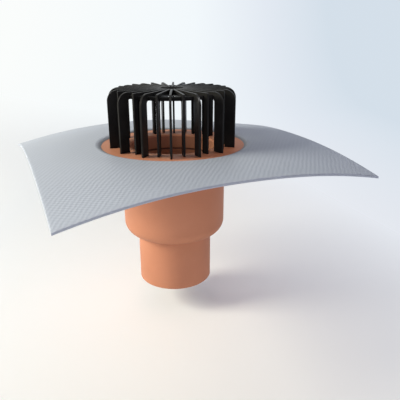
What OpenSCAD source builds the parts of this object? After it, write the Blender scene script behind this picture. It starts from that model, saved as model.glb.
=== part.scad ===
// Flat roof drain: a moulded body with an outlet pipe, a rounded pot and a flange,
// a square membrane collar bonded on the flange, and a bladed leaf guard that stands
// on the flange over the throat. The origin is the centre of the outlet's lower end,
// +Z is up, and the collar's sides lie along X and Y.

/* [Outlet pipe] */
// Outside diameter of the outlet pipe
outlet_d = 110; // [75:1:125]
// Wall of the outlet pipe
outlet_wall = 5; // [3:0.5:8]
// Straight length of the outlet pipe below the pot
outlet_h = 76; // [40:1:200]
// Chamfer round the lower end, which eases the pipe into its socket
outlet_chamfer = 1; // [0.5:0.25:2.5]

/* [Pot] */
// Outside diameter of the pot
pot_d = 150; // [140:1:180]
// Wall of the pot
pot_wall = 13; // [8:0.5:16]
// Height of the pot, from the bottom of its rounded shoulder to the flange's face
pot_h = 134; // [90:1:200]
// Rounding of the throat's mouth
mouth_r = 2.5; // [1:0.5:5]
// Depth of the seal groove below the flange's face
groove_drop = 21; // [12:1:40]
// Height of the seal groove
groove_h = 2; // [1:0.25:4]
// How deep the seal groove is cut into the wall
groove_cut = 2.5; // [1:0.25:4]

/* [Flange] */
// Thickness of the flange
flange_t = 9; // [5:0.5:14]
// Width of the flange that the collar is bonded to
bond_w = 27.5; // [15:0.5:60]
// Rounding of the flange's rim
rim_r = 2; // [0.5:0.5:2.5]
// Fillet between the pot and the underside of the flange
root_r = 8; // [3:1:12]

/* [Membrane collar] */
// Length of each side of the square collar
collar_side = 400; // [330:5:600]
// Thickness of the collar
collar_t = 3; // [1.5:0.25:5]
// Bare width of the flange between the leaf guard and the collar
bare_w = 11.5; // [6:0.5:40]
// Bevel round the collar's hole, on its upper edge
hole_bevel = 4.5; // [1:0.5:6]
// Sag of the collar at the middle of each side
side_sag = 3; // [0:0.5:12]
// Sag of the collar at its corners, turning left from the one at +X +Y
corner_sag = [28.5, 27, 27, 23]; // [10:0.5:60]

/* [Leaf guard] */
// Height of the leaf guard above the flange
guard_h = 79; // [50:1:130]
// Number of long blades, with as many short ones between them
blade_pairs = 15; // [9:1:16]
// Thickness of each blade
blade_t = 2.8; // [2:0.1:3.2]
// Depth of the arms that join the legs to the hub
arm_h = 9; // [7:0.5:20]
// Gap between the throat's mouth and the inner edges of the long blades' legs
long_leg_gap = 14.5; // [10:0.5:24]
// Width of the long blades' legs
long_leg_w = 14.5; // [10:0.5:30]
// Gap between the throat's mouth and the inner edges of the short blades' legs
short_leg_gap = 8.5; // [4:0.5:14]
// Width of the short blades' legs
short_leg_w = 10.5; // [6:0.5:14]
// Rounding of the long blades' upper outer corners
long_corner_r = 15; // [4:1:24]
// Rounding of the short blades' upper outer corners
short_corner_r = 1; // [0.5:0.5:8]
// Fillet in the angle between each leg and its arm
elbow_r = 3; // [1:0.5:6]
// Height of the ring that ties the blades together
tie_h = 4.6; // [2:0.2:6]
// Width of the tie ring, from its inner edge to its outer edge
tie_w = 7.5; // [4:0.5:12]
// How far the tie ring runs out past the inner edges of the short blades' legs
tie_lap = 3.5; // [1:0.5:5]
// How far the tie ring's underside stands above the arms' lower edges
tie_step = 0.4; // [0.2:0.1:0.8]
// Radius of the hub in which the blades meet
hub_r = 15.5; // [15.5:0.5:24]
// How far the hub's two ends stand back from the arms' edges
hub_step = 0.6; // [0.3:0.1:2]
// Radius of the hollow in the top of the hub
hollow_r = 8; // [3:0.5:12]
// Thickness of the hub's floor under the hollow
hub_floor = 3; // [1:0.5:5]
// Turn of the guard on its seat, from +X to the first long blade
guard_turn = 7.2; // [0:0.6:24]

/* [Hidden] */
$fn = 96;

outlet_r = outlet_d / 2;
bore_r = outlet_r - outlet_wall;
pot_r = pot_d / 2;
throat_r = pot_r - pot_wall;
shoulder_z = outlet_h + pot_r - outlet_r;
face_z = outlet_h + pot_h;
flange_z = face_z - flange_t;

long_leg_r = throat_r + long_leg_gap;
short_leg_r = throat_r + short_leg_gap;
guard_r = long_leg_r + long_leg_w;
hole_r = guard_r + bare_w;
flange_r = hole_r + bond_w;

// Height of the arms' lower edges above the flange
arm_z = guard_h - arm_h;

// Segments in each large rounding, and in each small one on the guard
corner_steps = 8;
fine_steps = 4;
// How far the blades' inner ends run into the hub
hub_lap = 1;

// Facets round the collar, a multiple of 8 so that four of them fall on its corners
collar_facets = 96;
// Steps of the collar's surface from the flange's rim out to its edge
collar_steps = 6;

// Points along an arc about a centre, from one angle to another
function arc(centre, r, from, to, steps = corner_steps) =
    [for (i = [0:steps])
        let (a = from + (to - from) * i / steps)
            centre + r * [cos(a), sin(a)]];

module drain_body() {
    throat_z = face_z - groove_drop;
    color("#c97d5a")
        rotate_extrude()
            polygon(concat(
                [[bore_r, 0],
                 [outlet_r - outlet_chamfer, 0],
                 [outlet_r, outlet_chamfer]],
                arc([outlet_r, shoulder_z], pot_r - outlet_r, -90, 0),
                arc([pot_r + root_r, flange_z - root_r], root_r, 180, 90),
                arc([flange_r - rim_r, flange_z + rim_r], rim_r, -90, 0),
                arc([flange_r - rim_r, face_z - rim_r], rim_r, 0, 90),
                arc([throat_r + mouth_r, face_z - mouth_r], mouth_r, 90, 180),
                [[throat_r, throat_z],
                 [throat_r + groove_cut, throat_z],
                 [throat_r + groove_cut, throat_z - groove_h],
                 [throat_r, throat_z - groove_h]],
                arc([bore_r, shoulder_z], throat_r - bore_r, 0, -90)));
}

// Distance from the axis to the collar's edge
function edge_r(a) = collar_side / 2 / max(abs(cos(a)), abs(sin(a)));

// How far out a point is: 0 at the flange's rim, 1 at the middle of a side
function reach(r) = max(0, r - flange_r) / (collar_side / 2 - flange_r);

// Sag of the collar: it grows with the square of the reach, and each corner adds its own
function sag(r, a) =
    let (corner = corner_sag[floor(a / 90) % 4] / pow(reach(collar_side / sqrt(2)), 2))
        pow(reach(r), 2) * (side_sag + (corner - side_sag) * pow(sin(2 * a), 2));

// The collar's cross-section at angle a, as a closed loop of [radius, height] pairs:
// up the hole's bevel, out along the top, and back along the underside
function collar_section(a) =
    let (radii = [for (i = [0:collar_steps]) flange_r + (edge_r(a) - flange_r) * i / collar_steps])
        concat(
            [[hole_r, 0], [hole_r + hole_bevel, collar_t]],
            [for (r = radii) [r, collar_t - sag(r, a)]],
            [for (i = [collar_steps:-1:0]) [radii[i], -sag(radii[i], a)]]);

module membrane_collar() {
    ring = 2 * collar_steps + 4;
    points = [for (j = [0:collar_facets - 1])
        let (a = 360 * j / collar_facets)
            for (p = collar_section(a)) [p[0] * cos(a), p[0] * sin(a), face_z + p[1]]];
    function at(i, j) = i % ring + ring * (j % collar_facets);
    faces = [for (j = [0:collar_facets - 1], i = [0:ring - 1])
        each [[at(i, j), at(i, j + 1), at(i + 1, j + 1)],
              [at(i, j), at(i + 1, j + 1), at(i + 1, j)]]];
    color("#a7acb2")
        polyhedron(points, faces);
}

// One blade along +X: a leg on the flange, and an arm that runs in to the hub
module blade(leg_r, leg_w, corner_r, steps) {
    outer_r = leg_r + leg_w;
    rotate([90, 0, 0])
        linear_extrude(height = blade_t, center = true)
            polygon(concat(
                [[leg_r, 0], [outer_r, 0]],
                arc([outer_r - corner_r, guard_h - corner_r], corner_r, 0, 90, steps),
                [[hub_r - hub_lap, guard_h], [hub_r - hub_lap, arm_z]],
                arc([leg_r - elbow_r, arm_z - elbow_r], elbow_r, 90, 0, fine_steps)));
}

// The round block in which the blades meet, with a hollow in its top
module hub() {
    hub_h = arm_h - 2 * hub_step;
    translate([0, 0, arm_z + hub_step])
        difference() {
            cylinder(r = hub_r, h = hub_h);
            translate([0, 0, hub_floor])
                cylinder(r = hollow_r, h = hub_h);
        }
}

// The ring that ties the blades together where their arms meet their legs
module tie_ring() {
    tie_r = short_leg_r + tie_lap;
    translate([0, 0, arm_z + tie_step])
        difference() {
            cylinder(r = tie_r, h = tie_h);
            translate([0, 0, -tie_h])
                cylinder(r = tie_r - tie_w, h = 3 * tie_h);
        }
}

module leaf_guard() {
    pitch = 360 / blade_pairs;
    color("#1c1c1e")
        translate([0, 0, face_z]) {
            hub();
            tie_ring();
            for (i = [0:blade_pairs - 1])
                rotate(guard_turn + pitch * i) {
                    blade(long_leg_r, long_leg_w, long_corner_r, corner_steps);
                    rotate(pitch / 2)
                        blade(short_leg_r, short_leg_w, short_corner_r, fine_steps);
                }
        }
}

leaf_guard();
membrane_collar();
drain_body();
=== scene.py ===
from math import cos, floor, pi, radians, sin, sqrt

import bmesh
import bpy
from mathutils import Matrix, Vector


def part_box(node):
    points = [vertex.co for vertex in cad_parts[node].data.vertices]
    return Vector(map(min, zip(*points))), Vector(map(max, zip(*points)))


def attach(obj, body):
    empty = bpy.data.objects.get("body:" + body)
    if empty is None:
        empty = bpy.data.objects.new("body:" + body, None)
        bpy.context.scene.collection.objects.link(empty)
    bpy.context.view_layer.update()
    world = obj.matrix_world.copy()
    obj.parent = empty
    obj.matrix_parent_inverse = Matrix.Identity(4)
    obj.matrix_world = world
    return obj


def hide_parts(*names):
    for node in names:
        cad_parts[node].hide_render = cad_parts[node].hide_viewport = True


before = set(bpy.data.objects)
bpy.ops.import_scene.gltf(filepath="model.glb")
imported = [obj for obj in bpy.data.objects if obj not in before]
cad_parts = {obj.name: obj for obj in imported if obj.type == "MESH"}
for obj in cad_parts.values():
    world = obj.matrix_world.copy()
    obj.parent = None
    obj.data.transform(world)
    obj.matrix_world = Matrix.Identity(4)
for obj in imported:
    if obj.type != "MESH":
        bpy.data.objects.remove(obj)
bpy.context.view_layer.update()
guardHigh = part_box("leaf_guard")[1]
collarLow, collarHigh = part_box("membrane_collar")
bodyLow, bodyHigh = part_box("drain_body")
faceZ = bodyHigh.z  # the flange's face, which the collar and the guard stand on
maskReach = 0.0003  # how far a change of colour reaches past the edge it follows
print("frame loaded:", ", ".join(sorted(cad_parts)))


# shared mesh helpers

def arcPoints(centre, radius, start, end, steps):
    # points round an arc in the (r, z) plane, angles in degrees
    points = []
    for i in range(steps + 1):
        a = radians(start + (end - start) * i / steps)
        points.append((centre[0] + radius * cos(a), centre[1] + radius * sin(a)))
    return points


def makeObject(name, bm, material):
    # turns a bmesh into a smooth object
    mesh = bpy.data.meshes.new(name)
    bm.to_mesh(mesh)
    bm.free()
    for polygon in mesh.polygons:
        polygon.use_smooth = True
    mesh.materials.append(material)
    made = bpy.data.objects.new(name, mesh)
    bpy.context.collection.objects.link(made)
    return made


def addPiece(name, bm, material, smoothAngle):
    # an object that rides on the part, with its edges sharp past an angle
    bmesh.ops.recalc_face_normals(bm, faces=bm.faces)
    piece = makeObject(name, bm, material)
    piece.data.set_sharp_from_angle(angle=radians(smoothAngle))
    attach(piece, "root")
    return piece


def joinRings(bm, rings):
    # closes rings of vertices into a skin; a vertex that two rings share is used once
    for here, there in zip(rings, rings[1:] + rings[:1]):
        for j in range(len(here)):
            k = (j + 1) % len(here)
            corners = list(dict.fromkeys((here[j], there[j], there[k], here[k])))
            if len(corners) > 2:
                bm.faces.new(corners)


def addTurned(bm, outline, segments):
    # turns a closed outline of (r, z) points about the Z axis; a point on the axis is shared
    poles = {j: bm.verts.new((0, 0, z)) for j, (r, z) in enumerate(outline) if r == 0}
    rings = []
    for i in range(segments):
        a = 2 * pi * i / segments
        ring = []
        for j, (r, z) in enumerate(outline):
            ring.append(poles[j] if j in poles else bm.verts.new((r * cos(a), r * sin(a), z)))
        rings.append(ring)
    joinRings(bm, rings)


# shared material helpers

def newMaterial(name):
    material = bpy.data.materials.new(name)
    material.use_nodes = True
    tree = material.node_tree
    return material, tree, tree.nodes["Principled BSDF"]


def addNode(tree, kind, **values):
    # adds a node, with its plain settings and its inputs given by name
    node = tree.nodes.new(kind)
    for key, value in values.items():
        if hasattr(node, key):
            setattr(node, key, value)
        else:
            node.inputs[key].default_value = value
    return node


def addMath(tree, operation, *values):
    # a sum of sockets and plain numbers
    node = addNode(tree, "ShaderNodeMath", operation=operation)
    for socket, value in zip(node.inputs, values):
        if isinstance(value, (int, float)):
            socket.default_value = value
        else:
            tree.links.new(value, socket)
    return node.outputs[0]


def addDot(tree, vector, direction):
    node = addNode(tree, "ShaderNodeVectorMath", operation="DOT_PRODUCT")
    tree.links.new(vector, node.inputs[0])
    node.inputs[1].default_value = direction
    return node.outputs["Value"]


def addSplit(tree, place):
    # the three coordinates of a place
    parts = tree.nodes.new("ShaderNodeSeparateXYZ")
    tree.links.new(place, parts.inputs[0])
    return parts.outputs[0], parts.outputs[1], parts.outputs[2]


def addRadius(tree, x, y):
    # distance from the Z axis
    return addMath(tree, "SQRT", addMath(tree, "MULTIPLY_ADD", x, x, addMath(tree, "MULTIPLY", y, y)))


def addRamp(tree, source, stops):
    # a colour ramp from a value to colours or greys
    node = tree.nodes.new("ShaderNodeValToRGB")
    elements = node.color_ramp.elements
    while len(elements) < len(stops):
        elements.new(0.5)
    for element, (place, colour) in zip(elements, stops):
        element.position = place
        element.color = (*colour, 1) if isinstance(colour, tuple) else (colour, colour, colour, 1)
    tree.links.new(source, node.inputs[0])
    return node.outputs[0]


def addNoise(tree, vector, scale, detail, roughness=0.5):
    node = addNode(tree, "ShaderNodeTexNoise", Scale=scale, Detail=detail, Roughness=roughness)
    tree.links.new(vector, node.inputs["Vector"])
    return node.outputs["Fac"]


def addBump(tree, height, distance, strength, below=None):
    node = addNode(tree, "ShaderNodeBump", Distance=distance, Strength=strength)
    tree.links.new(height, node.inputs["Height"])
    if below is not None:
        tree.links.new(below, node.inputs["Normal"])
    return node.outputs["Normal"]


def mixColours(tree, factor, a, b):
    node = addNode(tree, "ShaderNodeMix", data_type="RGBA")
    tree.links.new(factor, node.inputs[0])
    tree.links.new(a, node.inputs[6])
    tree.links.new(b, node.inputs[7])
    return node.outputs[2]


def multiplyColours(tree, a, b):
    node = addNode(tree, "ShaderNodeMix", data_type="RGBA", blend_type="MULTIPLY")
    node.inputs[0].default_value = 1.0
    tree.links.new(a, node.inputs[6])
    tree.links.new(b, node.inputs[7])
    return node.outputs[2]


def addTone(tree, cloud, colour, dark, light):
    # a colour that drifts between a darker and a lighter share of itself
    low = tuple(part * dark for part in colour)
    high = tuple(part * light for part in colour)
    return addRamp(tree, cloud, [(0.3, low), (0.7, high)])


# camera

cameraSetup = {
    "place": (-0.2356, -0.6081, 0.3592),
    "down": 19.99,  # degrees below the horizon
    "heading": 24.62,  # degrees from +Y towards +X
    "lens": 41.08,
    "sensor": 36.0,
}


def addCamera():
    data = bpy.data.cameras.new("camera")
    data.lens = cameraSetup["lens"]
    data.sensor_width = cameraSetup["sensor"]
    data.clip_end = 50
    camera = bpy.data.objects.new("camera", data)
    camera.location = cameraSetup["place"]
    camera.rotation_euler = (radians(90 - cameraSetup["down"]), 0, -radians(cameraSetup["heading"]))
    bpy.context.collection.objects.link(camera)
    bpy.context.scene.camera = camera


addCamera()
print("camera set")


# studio

studio = {
    "floorDrop": 0.042,  # how far the floor lies below the outlet
    "halfWidth": 6.0,
    "frontReach": 4.0,
    "backReach": 2.6,
    "wallHeight": 3.0,
    "coveRadius": 1.2,
    # colours of the paper, from 1 m left of the drain to 1 m right of it
    "paperColours": [
        (0.05, (0.88, 0.90, 0.93)),
        (0.3, (0.76, 0.795, 0.88)),
        (0.5, (0.925, 0.925, 0.955)),
        (1.0, (0.95, 0.95, 0.96)),
    ],
    "viewTurn": -24.69,  # direction across the view, degrees from +X
    # how far the paper glows towards its own colour, at the drain and for each metre
    "glowHere": 0.06,
    "glowAcross": 1.7,
    "glowAway": 0.6,
    "glowForward": 0.8,  # in front of the drain the paper glows past this distance
    # colours of the glow, from 1 m left of the drain to 1 m right of it
    "nearColours": [
        (0.3, (0.97, 0.97, 0.96)),
        (0.5, (0.90, 0.86, 0.85)),
        (0.6, (0.84, 0.84, 0.88)),
        (1.0, (0.66, 0.74, 0.82)),
    ],
    "farColours": [
        (0.0, (0.96, 0.98, 0.97)),
        (0.5, (0.89, 0.94, 0.97)),
        (0.75, (0.77, 0.82, 0.89)),
        (1.0, (0.66, 0.74, 0.82)),
    ],
    "farColour": (0.88, 0.90, 0.93),  # what is seen past the paper
    "skyColour": (1.0, 0.97, 1.06),
    "skyLow": 1.56,  # strength of the sky at the horizon
    "skyHigh": 0.05,  # strength of the sky overhead
    "skyFall": 2.0,  # how fast it falls off from one to the other
}


def addShown(tree):
    # 1 for what the camera, a reflection or clear matter looks at, otherwise 0
    path = tree.nodes.new("ShaderNodeLightPath")
    direct = addMath(tree, "MAXIMUM", path.outputs["Is Camera Ray"], path.outputs["Is Glossy Ray"])
    return addMath(tree, "MAXIMUM", direct, path.outputs["Is Transmission Ray"])


def makePaper():
    # matt paper that glows where it lies to the right, far back or far in front
    material, tree, shader = newMaterial("studio paper")
    shader.inputs["Roughness"].default_value = 0.9
    shader.inputs["Specular IOR Level"].default_value = 0.0
    place = addNode(tree, "ShaderNodeTexCoord").outputs["Object"]
    turn = radians(studio["viewTurn"])
    across = addDot(tree, place, (cos(turn), sin(turn), 0))
    away = addDot(tree, place, (-sin(turn), cos(turn), 0))
    glowRight = addMath(tree, "MULTIPLY_ADD", across, studio["glowAcross"], studio["glowHere"])
    glowBack = addMath(tree, "MULTIPLY", away, studio["glowAway"])
    forward = addMath(tree, "SUBTRACT", -studio["glowForward"], away)
    glowFront = addMath(tree, "MULTIPLY", forward, studio["glowAway"])
    glowBack = addMath(tree, "MAXIMUM", addMath(tree, "MAXIMUM", glowBack, glowFront), 0.0)
    glow = addMath(tree, "ADD", addMath(tree, "MAXIMUM", glowRight, 0.0), glowBack)
    glow = addMath(tree, "MINIMUM", glow, 1.0)
    side = addMath(tree, "MULTIPLY_ADD", across, 0.5, 0.5)
    tree.links.new(addRamp(tree, side, studio["paperColours"]), shader.inputs["Base Color"])
    light = tree.nodes.new("ShaderNodeEmission")
    near = addRamp(tree, side, studio["nearColours"])
    far = addRamp(tree, side, studio["farColours"])
    farShare = addMath(tree, "MINIMUM", glowBack, 1.0)
    tree.links.new(mixColours(tree, farShare, near, far), light.inputs["Color"])
    mix = tree.nodes.new("ShaderNodeMixShader")
    tree.links.new(addMath(tree, "MULTIPLY", glow, addShown(tree)), mix.inputs[0])
    tree.links.new(shader.outputs[0], mix.inputs[1])
    tree.links.new(light.outputs[0], mix.inputs[2])
    tree.links.new(mix.outputs[0], tree.nodes["Material Output"].inputs["Surface"])
    return material


def addStudio():
    floorZ = bodyLow.z - studio["floorDrop"]
    radius, back = studio["coveRadius"], studio["backReach"]
    line = [(-studio["frontReach"], floorZ)]
    line += arcPoints((back - radius, floorZ + radius), radius, -90, 0, 24)
    line.append((back, floorZ + studio["wallHeight"]))
    bm = bmesh.new()
    half = studio["halfWidth"]
    left = [bm.verts.new((-half, y, z)) for y, z in line]
    right = [bm.verts.new((half, y, z)) for y, z in line]
    for i in range(len(line) - 1):
        bm.faces.new((left[i], right[i], right[i + 1], left[i + 1]))
    makeObject("paper", bm, makePaper())


def addWorld():
    world = bpy.data.worlds.new("studio world")
    bpy.context.scene.world = world
    world.use_nodes = True
    tree = world.node_tree
    sky = tree.nodes["Background"]
    sky.inputs["Color"].default_value = (*studio["skyColour"], 1)
    direction = addNode(tree, "ShaderNodeTexCoord").outputs["Generated"]
    high = addMath(tree, "MAXIMUM", addDot(tree, direction, (0, 0, 1)), 0.0)
    low = addMath(tree, "POWER", addMath(tree, "SUBTRACT", 1.0, high), studio["skyFall"])
    strength = addMath(tree, "MULTIPLY_ADD", low, studio["skyLow"] - studio["skyHigh"], studio["skyHigh"])
    tree.links.new(strength, sky.inputs["Strength"])
    seen = addNode(tree, "ShaderNodeBackground", Strength=1.0)
    seen.inputs["Color"].default_value = (*studio["farColour"], 1)
    mix = tree.nodes.new("ShaderNodeMixShader")
    tree.links.new(addShown(tree), mix.inputs[0])
    tree.links.new(sky.outputs[0], mix.inputs[1])
    tree.links.new(seen.outputs[0], mix.inputs[2])
    tree.links.new(mix.outputs[0], tree.nodes["World Output"].inputs["Surface"])


# each lamp's angle is in degrees from +X, and its height in degrees above the horizon
lamps = {
    "key": {
        "angle": 167.0,
        "height": 28.0,
        "distance": 1.9,
        "size": 0.80,
        "power": 46.0,
        "colour": (1.0, 0.97, 0.78),
    },
    # high on the other side, it only makes the dark plastic gleam
    "gleam": {
        "angle": -52.0,
        "height": 62.0,
        "distance": 1.8,
        "size": 0.9,
        "power": 90.0,
        "colour": (1.0, 1.0, 1.0),
    },
    # a weak one beside it, for the flange behind the guard
    "fill": {
        "angle": -40.0,
        "height": 50.0,
        "distance": 1.8,
        "size": 0.9,
        "power": 7.0,
        "colour": (1.0, 0.7, 0.55),
    },
}
lampAim = 0.7  # the lamps aim at this share of the flange's height


def addLamp(name):
    # a round lamp that the camera doesn't see, aimed at the drain
    s = lamps[name]
    data = bpy.data.lights.new(name, "AREA")
    data.shape = "DISK"
    data.size = s["size"]
    data.energy = s["power"]
    data.color = s["colour"]
    lamp = bpy.data.objects.new(name, data)
    turn, tilt = radians(s["angle"]), radians(s["height"])
    away = Vector((cos(turn) * cos(tilt), sin(turn) * cos(tilt), sin(tilt)))
    target = Vector((0, 0, faceZ * lampAim))
    lamp.location = target + away * s["distance"]
    lamp.rotation_euler = away.to_track_quat("Z", "Y").to_euler()
    lamp.visible_camera = False
    bpy.context.collection.objects.link(lamp)
    return lamp


def lightOnly(lamp, piece):
    # lets a lamp light one piece and nothing else
    lit = bpy.data.collections.new("lit by " + lamp.name)
    lit.objects.link(piece)
    lamp.light_linking.receiver_collection = lit


addStudio()
addWorld()
addLamp("key")
gleam = addLamp("gleam")
gleam.visible_diffuse = False
fill = addLamp("fill")
bpy.context.scene.view_settings.view_transform = "Standard"
print("studio set")


# drain body

bodyShape = {
    "boreRadius": 0.050,
    "pipeRadius": 0.055,
    "potRadius": 0.075,
    "throatRadius": 0.062,
    "pipeTop": 0.076,  # where the pipe meets the rounded shoulder
    "flangeThick": 0.009,
    "rimRound": 0.002,
    "rootRound": 0.008,
    "mouthRound": 0.0025,
    "endChamfer": 0.001,
    "grooveDrop": 0.021,
    "grooveHigh": 0.002,
    "grooveCut": 0.0025,
    "segments": 192,
    "colour": (0.486, 0.207, 0.121),
    "wallPaintedShade": 0.66,  # painted shade: colour of the waterway's wall against the outside
    # painted shade in the seal groove, against the outside
    "groovePaintedShade": 0.25,
    "widenFrom": 0.080,  # height at which the wall starts to step out from pipe to pot
    "widenOver": 0.016,
    "gloss": 0.16,
    "roughness": (0.50, 0.58),
}


def addWaterwayShade(tree, shape):
    # painted shade: 1 outside; less on the waterway's wall, and least in the seal groove
    s = bodyShape
    x, y, z = addSplit(tree, shape)
    radius = addRadius(tree, x, y)
    # the wall's middle: it steps out from the pipe to the pot over the shoulder
    rise = addMath(tree, "MULTIPLY_ADD", z, 1 / s["widenOver"], -s["widenFrom"] / s["widenOver"])
    rise = addMath(tree, "MINIMUM", addMath(tree, "MAXIMUM", rise, 0.0), 1.0)
    core = (s["boreRadius"] + s["pipeRadius"]) / 2
    limit = addMath(tree, "MULTIPLY_ADD", rise, (s["throatRadius"] + s["potRadius"]) / 2 - core, core)
    inside = addMath(tree, "LESS_THAN", radius, limit)
    # painted shade: the seal groove's band of height
    middle = faceZ - s["grooveDrop"] - s["grooveHigh"] / 2
    groove = addMath(tree, "COMPARE", z, middle, s["grooveHigh"] / 2 + maskReach)
    below = addMath(tree, "LESS_THAN", z, faceZ - s["mouthRound"])
    wall = addMath(tree, "MULTIPLY", addMath(tree, "MULTIPLY", inside, below), 1 - s["wallPaintedShade"])
    deeper = s["wallPaintedShade"] - s["groovePaintedShade"]
    line = addMath(tree, "MULTIPLY", addMath(tree, "MULTIPLY", inside, groove), deeper)
    return addMath(tree, "SUBTRACT", 1.0, addMath(tree, "ADD", wall, line))


def makeBodyPlastic():
    material, tree, shader = newMaterial("orange brown plastic")
    shape = addNode(tree, "ShaderNodeTexCoord").outputs["Object"]
    cloud = addNoise(tree, shape, 18, 4)
    fine = addNoise(tree, shape, 1400, 3)
    r, g, b = bodyShape["colour"]
    # the darker places are also a little redder
    dark, light = (r * 0.95, g * 0.93, b * 0.92), (r * 1.04, g * 1.05, b * 1.06)
    tone = addRamp(tree, cloud, [(0.3, dark), (0.7, light)])
    # the colour is darkened by painted shade on the waterway's wall and in the seal groove
    tree.links.new(multiplyColours(tree, tone, addWaterwayShade(tree, shape)), shader.inputs["Base Color"])
    shader.inputs["Specular IOR Level"].default_value = bodyShape["gloss"]
    smooth, rough = bodyShape["roughness"]
    tree.links.new(addRamp(tree, cloud, [(0.3, smooth), (0.7, rough)]), shader.inputs["Roughness"])
    tree.links.new(addBump(tree, fine, 0.0002, 0.25), shader.inputs["Normal"])
    return material


def bodyOutline():
    s = bodyShape
    bore, pipe, pot, throat = s["boreRadius"], s["pipeRadius"], s["potRadius"], s["throatRadius"]
    rim = bodyHigh.x
    under = faceZ - s["flangeThick"]
    shoulder = pot - pipe
    low = s["pipeTop"] + shoulder
    wallIn = throat - bore
    points = [(bore, s["endChamfer"]), (bore + s["endChamfer"] * 0.5, 0)]
    points += [(pipe - s["endChamfer"], 0), (pipe, s["endChamfer"]), (pipe, s["pipeTop"] * 0.5)]
    points += arcPoints((pipe, low), shoulder, -90, 0, 14)
    points += arcPoints((pot + s["rootRound"], under - s["rootRound"]), s["rootRound"], 180, 90, 8)
    points += arcPoints((rim - s["rimRound"], under + s["rimRound"]), s["rimRound"], -90, 0, 5)
    points += arcPoints((rim - s["rimRound"], faceZ - s["rimRound"]), s["rimRound"], 0, 90, 5)
    points += arcPoints((throat + s["mouthRound"], faceZ - s["mouthRound"]), s["mouthRound"], 90, 180, 6)
    grooveTop = faceZ - s["grooveDrop"]
    grooveLow = grooveTop - s["grooveHigh"]
    points += [(throat, grooveTop), (throat + s["grooveCut"], grooveTop)]
    points += [(throat + s["grooveCut"], grooveLow), (throat, grooveLow)]
    points += arcPoints((bore, low), wallIn, 0, -90, 8)
    return points


def addBody():
    bm = bmesh.new()
    addTurned(bm, bodyOutline(), bodyShape["segments"])
    body = addPiece("drainBody", bm, makeBodyPlastic(), 40)
    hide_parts("drain_body")
    return body


lightOnly(fill, addBody())
print("body made")


# membrane collar

collarShape = {
    "thick": 0.003,
    "footRadius": 0.1025,
    "lip": 0.008,  # width of the bevelled lip round the hole
    "lipFall": 0.95,  # the share of the thickness that the lip falls
    "lipCurve": 1.3,  # 1 is a straight bevel, more rounds its top
    "lipSteps": 8,
    "footPaintedShade": 0.34,  # painted shade: colour at the foot of the lip against the faces
    "footDark": 0.0015,  # how far out it stays that dark
    "footFade": 0.0055,  # where the darkening ends
    "restRadius": 0.130,  # it lies flat as far as the flange's rim
    "sideSag": 0.003,
    "cornerSag": (0.0285, 0.027, 0.027, 0.023),  # turning left from +X +Y
    "edgeRound": 0.0007,
    "around": 384,
    "outward": 44,
    "ribPitch": 0.00513,
    "ribTurn": -38.0,  # direction across the ribs
    "ribWobble": 0.004,  # how far the ribs stray from a straight line
    "dashRate": 1.35,  # breaks along a rib for each rib across
    "dashShare": 0.3,  # depth of the breaks against the ribs
    "ribDepth": 0.00012,
    "ribStrength": 0.5,
    "furrowPaintedShade": 0.97,  # painted shade: colour between the ribs against their tops
    "grainDepth": 0.0002,
    "grainStrength": 0.15,
    "gloss": 0.5,
    "roughness": (0.44, 0.52),
    "edgePaintedShade": 0.9,  # painted shade: colour of the cut edge against the faces
    "colour": (0.424, 0.465, 0.562),
}


def sideReach(a):
    half = collarHigh.x
    return half / max(abs(cos(a)), abs(sin(a)))


def sagAt(r, a):
    # how far the sheet has sunk at radius r and angle a
    s = collarShape
    half, rest = collarHigh.x, s["restRadius"]
    share = max(0.0, r - rest) / (half - rest)
    cornerShare = (half * sqrt(2) - rest) / (half - rest)
    corner = s["cornerSag"][floor(a / (pi / 2)) % 4] / cornerShare ** 2
    return share ** 2 * (s["sideSag"] + (corner - s["sideSag"]) * sin(2 * a) ** 2)


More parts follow.
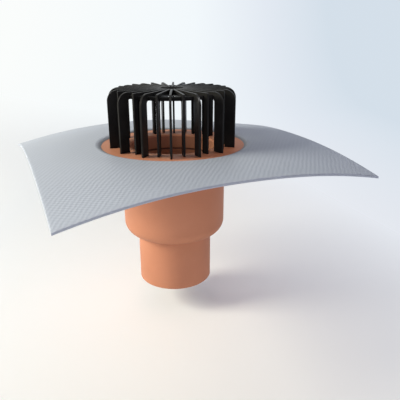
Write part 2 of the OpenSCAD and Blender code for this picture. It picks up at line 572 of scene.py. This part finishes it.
def makeMembrane():
    material, tree, shader = newMaterial("embossed membrane")
    s = collarShape
    place = addNode(tree, "ShaderNodeTexCoord").outputs["Object"]
    x, y = addSplit(tree, place)[:2]
    radius = addRadius(tree, x, y)
    # broken ribs at a slant
    warp = addNoise(tree, place, 60, 2)
    across = radians(s["ribTurn"])
    ribLine = addDot(tree, place, (cos(across), sin(across), 0))
    dashLine = addDot(tree, place, (-sin(across), cos(across), 0))
    wobble = addMath(tree, "MULTIPLY", warp, s["ribWobble"])
    turns = 2 * pi / s["ribPitch"]
    ribs = addMath(tree, "SINE", addMath(tree, "MULTIPLY", addMath(tree, "ADD", ribLine, wobble), turns))
    dashes = addMath(tree, "SINE", addMath(tree, "MULTIPLY", dashLine, turns * s["dashRate"]))
    weave = addMath(tree, "ADD", ribs, addMath(tree, "MULTIPLY", dashes, s["dashShare"]))
    grain = addNoise(tree, place, 900, 3)
    cloud = addNoise(tree, place, 9, 3)
    tone = addTone(tree, cloud, s["colour"], 0.97, 1.03)
    height = addMath(tree, "MULTIPLY_ADD", weave, 0.35, 0.5)  # the weave brought to between 0 and 1
    # painted shade between the ribs
    furrow = addRamp(tree, height, [(0.0, s["furrowPaintedShade"]), (1.0, 1.0)])
    # painted shade, darker on the cut edge and round the foot of the lip
    reach = addMath(tree, "MAXIMUM", addMath(tree, "ABSOLUTE", x), addMath(tree, "ABSOLUTE", y))
    cut = addMath(tree, "GREATER_THAN", reach, collarHigh.x - s["edgeRound"] * 0.6)
    edge = addMath(tree, "MULTIPLY_ADD", cut, s["edgePaintedShade"] - 1, 1.0)
    # painted shade round the foot of the lip, fading out from the foot
    out = addMath(tree, "SUBTRACT", radius, s["footRadius"] + s["footDark"])
    rise = addMath(tree, "DIVIDE", out, s["footFade"] - s["footDark"])
    foot = addRamp(tree, rise, [(0.0, s["footPaintedShade"]), (1.0, 1.0)])
    shade = addMath(tree, "MULTIPLY", edge, foot)
    colour = multiplyColours(tree, multiplyColours(tree, tone, furrow), shade)
    tree.links.new(colour, shader.inputs["Base Color"])
    shader.inputs["Specular IOR Level"].default_value = s["gloss"]
    smooth, rough = s["roughness"]
    tree.links.new(addRamp(tree, cloud, [(0.3, smooth), (0.7, rough)]), shader.inputs["Roughness"])
    fine = addBump(tree, grain, s["grainDepth"], s["grainStrength"])
    tree.links.new(addBump(tree, weave, s["ribDepth"], s["ribStrength"], fine), shader.inputs["Normal"])
    return material


def collarSection(a):
    # closed outline from the foot of the lip out to the edge and back underneath
    s = collarShape
    edge, thick, rounding = sideReach(a), s["thick"], s["edgeRound"]
    lipTop = s["footRadius"] + s["lip"]
    points = [(s["footRadius"], 0)]
    for i in range(s["lipSteps"]):
        t = 1 - i / s["lipSteps"]
        points.append((lipTop - s["lip"] * t, thick * (1 - s["lipFall"] * t ** s["lipCurve"])))
    stretch = edge / collarHigh.x  # the rounding is measured square to the side
    for i in range(s["outward"]):
        r = lipTop + (edge - rounding * stretch - lipTop) * i / (s["outward"] - 1)
        points.append((r, thick - sagAt(r, a)))
    for turn in (60, 30, 0, -30, -60):
        t = radians(turn)
        r = edge - rounding * stretch * (1 - cos(t))
        side = thick - rounding + rounding * sin(t) if turn > 0 else rounding + rounding * sin(t)
        if turn == 0:
            points.append((r, thick - rounding - sagAt(r, a)))
            points.append((r, rounding - sagAt(r, a)))
        else:
            points.append((r, side - sagAt(r, a)))
    for i in range(s["outward"]):
        r = edge - rounding * stretch - (edge - rounding * stretch - lipTop) * i / (s["outward"] - 1)
        points.append((r, -sagAt(r, a)))
    return points


def addCollar():
    bm = bmesh.new()
    count = collarShape["around"]
    rings = []
    for i in range(count):
        a = 2 * pi * i / count
        rings.append([bm.verts.new((r * cos(a), r * sin(a), faceZ + z)) for r, z in collarSection(a)])
    joinRings(bm, rings)
    collar = addPiece("membraneCollar", bm, makeMembrane(), 50)
    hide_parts("membrane_collar")


addCollar()
print("collar made")


# leaf guard

guardShape = {
    "bladePairs": 15,
    "bladeThick": 0.0028,
    "bladeRound": 0.0004,  # rounding of the blades' long edges
    "armHigh": 0.009,
    "longInner": 0.0765,
    "longOuter": 0.091,
    "shortInner": 0.0705,
    "shortOuter": 0.081,
    "longCorner": 0.015,
    "shortCorner": 0.001,
    "elbow": 0.003,
    "tieInner": 0.0665,
    "tieOuter": 0.074,
    "tieHigh": 0.0046,
    "tieStep": 0.0004,  # the tie ring stands this far above the arms' lower edges
    "hubRadius": 0.0155,
    "hubStep": 0.0006,
    "hubRound": 0.0006,
    "hollowRadius": 0.008,
    "hubFloor": 0.003,
    "hubOverlap": 0.001,  # how far the arms run into the hub
    "tieSegments": 192,
    "hubSegments": 96,
    "turn": 7.2,
    "colour": (0.0155, 0.015, 0.0148),
    "gloss": 0.06,
    "roughness": (0.30, 0.38),
    "dullness": 0.5,  # added roughness on the tie ring and the hub
    "paintedShadeTones": (0.45, 0.6),  # painted shade: their colour against the blades'
    "hubDullAndShade": 0.0159,  # how far out the hub's dullness and painted shade reach
}


def addDullnessAndShade(tree, shape):
    # 1 on the hub and the tie ring, otherwise 0; it carries their dullness and their painted shade
    s = guardShape
    x, y, z = addSplit(tree, shape)
    radius = addRadius(tree, x, y)
    nearHub = addMath(tree, "LESS_THAN", radius, s["hubDullAndShade"])
    ringRadius = (s["tieInner"] + s["tieOuter"]) / 2
    ringHalf = (s["tieOuter"] - s["tieInner"]) / 2 + maskReach
    ringTop = guardHigh.z - s["armHigh"] + s["tieStep"] + s["tieHigh"] + maskReach
    nearRing = addMath(tree, "COMPARE", radius, ringRadius, ringHalf)
    nearRing = addMath(tree, "MULTIPLY", nearRing, addMath(tree, "LESS_THAN", z, ringTop))
    return addMath(tree, "MAXIMUM", nearHub, nearRing)


def makeGuardPlastic():
    material, tree, shader = newMaterial("black plastic")
    s = guardShape
    shape = addNode(tree, "ShaderNodeTexCoord").outputs["Object"]
    cloud = addNoise(tree, shape, 45, 4)
    fine = addNoise(tree, shape, 1800, 2)
    dullAndShade = addDullnessAndShade(tree, shape)
    tone = addTone(tree, cloud, s["colour"], 0.8, 1.3)
    # painted shade: the hub and the tie ring are coloured darker than the blades
    darkest, darker = (tuple(part * share for part in s["colour"]) for share in s["paintedShadeTones"])
    paintedShadeTone = addRamp(tree, cloud, [(0.0, darkest), (1.0, darker)])
    tree.links.new(mixColours(tree, dullAndShade, tone, paintedShadeTone), shader.inputs["Base Color"])
    shader.inputs["Specular IOR Level"].default_value = s["gloss"]
    smooth, rough = s["roughness"]
    shine = addRamp(tree, cloud, [(0.3, smooth), (0.7, rough)])
    tree.links.new(addMath(tree, "MULTIPLY_ADD", dullAndShade, s["dullness"], shine), shader.inputs["Roughness"])
    tree.links.new(addBump(tree, fine, 0.0002, 0.2), shader.inputs["Normal"])
    return material


def bladeOutline(inner, outer, corner):
    s = guardShape
    top = guardHigh.z
    arm = top - s["armHigh"]
    bend, root = s["elbow"], s["hubRadius"] - s["hubOverlap"]
    points = [(inner, faceZ), (outer, faceZ)]
    points += arcPoints((outer - corner, top - corner), corner, 0, 90, 12)
    points += [(root, top), (root, arm)]
    points += arcPoints((inner - bend, arm - bend), bend, 90, 0, 6)
    return points


def addBlade(bm, inner, outer, corner, turn):
    # one blade: its outline on both faces, with the long edges rounded
    s = guardShape
    half = s["bladeThick"] / 2
    blade = bmesh.new()
    outline = bladeOutline(inner, outer, corner)
    front = [blade.verts.new((r, -half, z)) for r, z in outline]
    back = [blade.verts.new((r, half, z)) for r, z in outline]
    blade.faces.new(front)
    blade.faces.new(list(reversed(back)))
    count = len(outline)
    for i in range(count):
        k = (i + 1) % count
        blade.faces.new((front[k], front[i], back[i], back[k]))
    rims = [e for e in blade.edges if e.verts[0].co.y == e.verts[1].co.y]
    bmesh.ops.bevel(blade, geom=rims, offset=s["bladeRound"], segments=2, profile=0.5, affect="EDGES")
    blade.transform(Matrix.Rotation(radians(turn), 4, "Z"))
    mesh = bpy.data.meshes.new("blade")
    blade.to_mesh(mesh)
    blade.free()
    bm.from_mesh(mesh)
    bpy.data.meshes.remove(mesh)


def addTie(bm):
    # the ring that ties the blades together, its four edges rounded
    s = guardShape
    low = guardHigh.z - s["armHigh"] + s["tieStep"]
    top = low + s["tieHigh"]
    inner, outer, bend = s["tieInner"], s["tieOuter"], s["bladeRound"]
    outline = arcPoints((inner + bend, low + bend), bend, 180, 270, 3)
    outline += arcPoints((outer - bend, low + bend), bend, -90, 0, 3)
    outline += arcPoints((outer - bend, top - bend), bend, 0, 90, 3)
    outline += arcPoints((inner + bend, top - bend), bend, 90, 180, 3)
    addTurned(bm, outline, s["tieSegments"])


def addHub(bm):
    s = guardShape
    top = guardHigh.z - s["hubStep"]
    low = guardHigh.z - s["armHigh"] + s["hubStep"]
    radius, hollow, bend = s["hubRadius"], s["hollowRadius"], s["hubRound"]
    floorZ = low + s["hubFloor"]
    outline = [(0, low)]
    outline += arcPoints((radius - bend, low + bend), bend, -90, 0, 4)
    outline += arcPoints((radius - bend, top - bend), bend, 0, 90, 4)
    outline += arcPoints((hollow + bend, top - bend), bend, 90, 180, 4)
    outline += [(hollow, floorZ), (0, floorZ)]
    addTurned(bm, outline, s["hubSegments"])


def addGuard():
    s = guardShape
    bm = bmesh.new()
    step = 360 / s["bladePairs"]
    for i in range(s["bladePairs"]):
        addBlade(bm, s["longInner"], s["longOuter"], s["longCorner"], s["turn"] + step * i)
        addBlade(bm, s["shortInner"], s["shortOuter"], s["shortCorner"], s["turn"] + step * (i + 0.5))
    addTie(bm)
    addHub(bm)
    guard = addPiece("leafGuard", bm, makeGuardPlastic(), 35)
    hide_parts("leaf_guard")
    return guard


lightOnly(gleam, addGuard())
print("guard made")
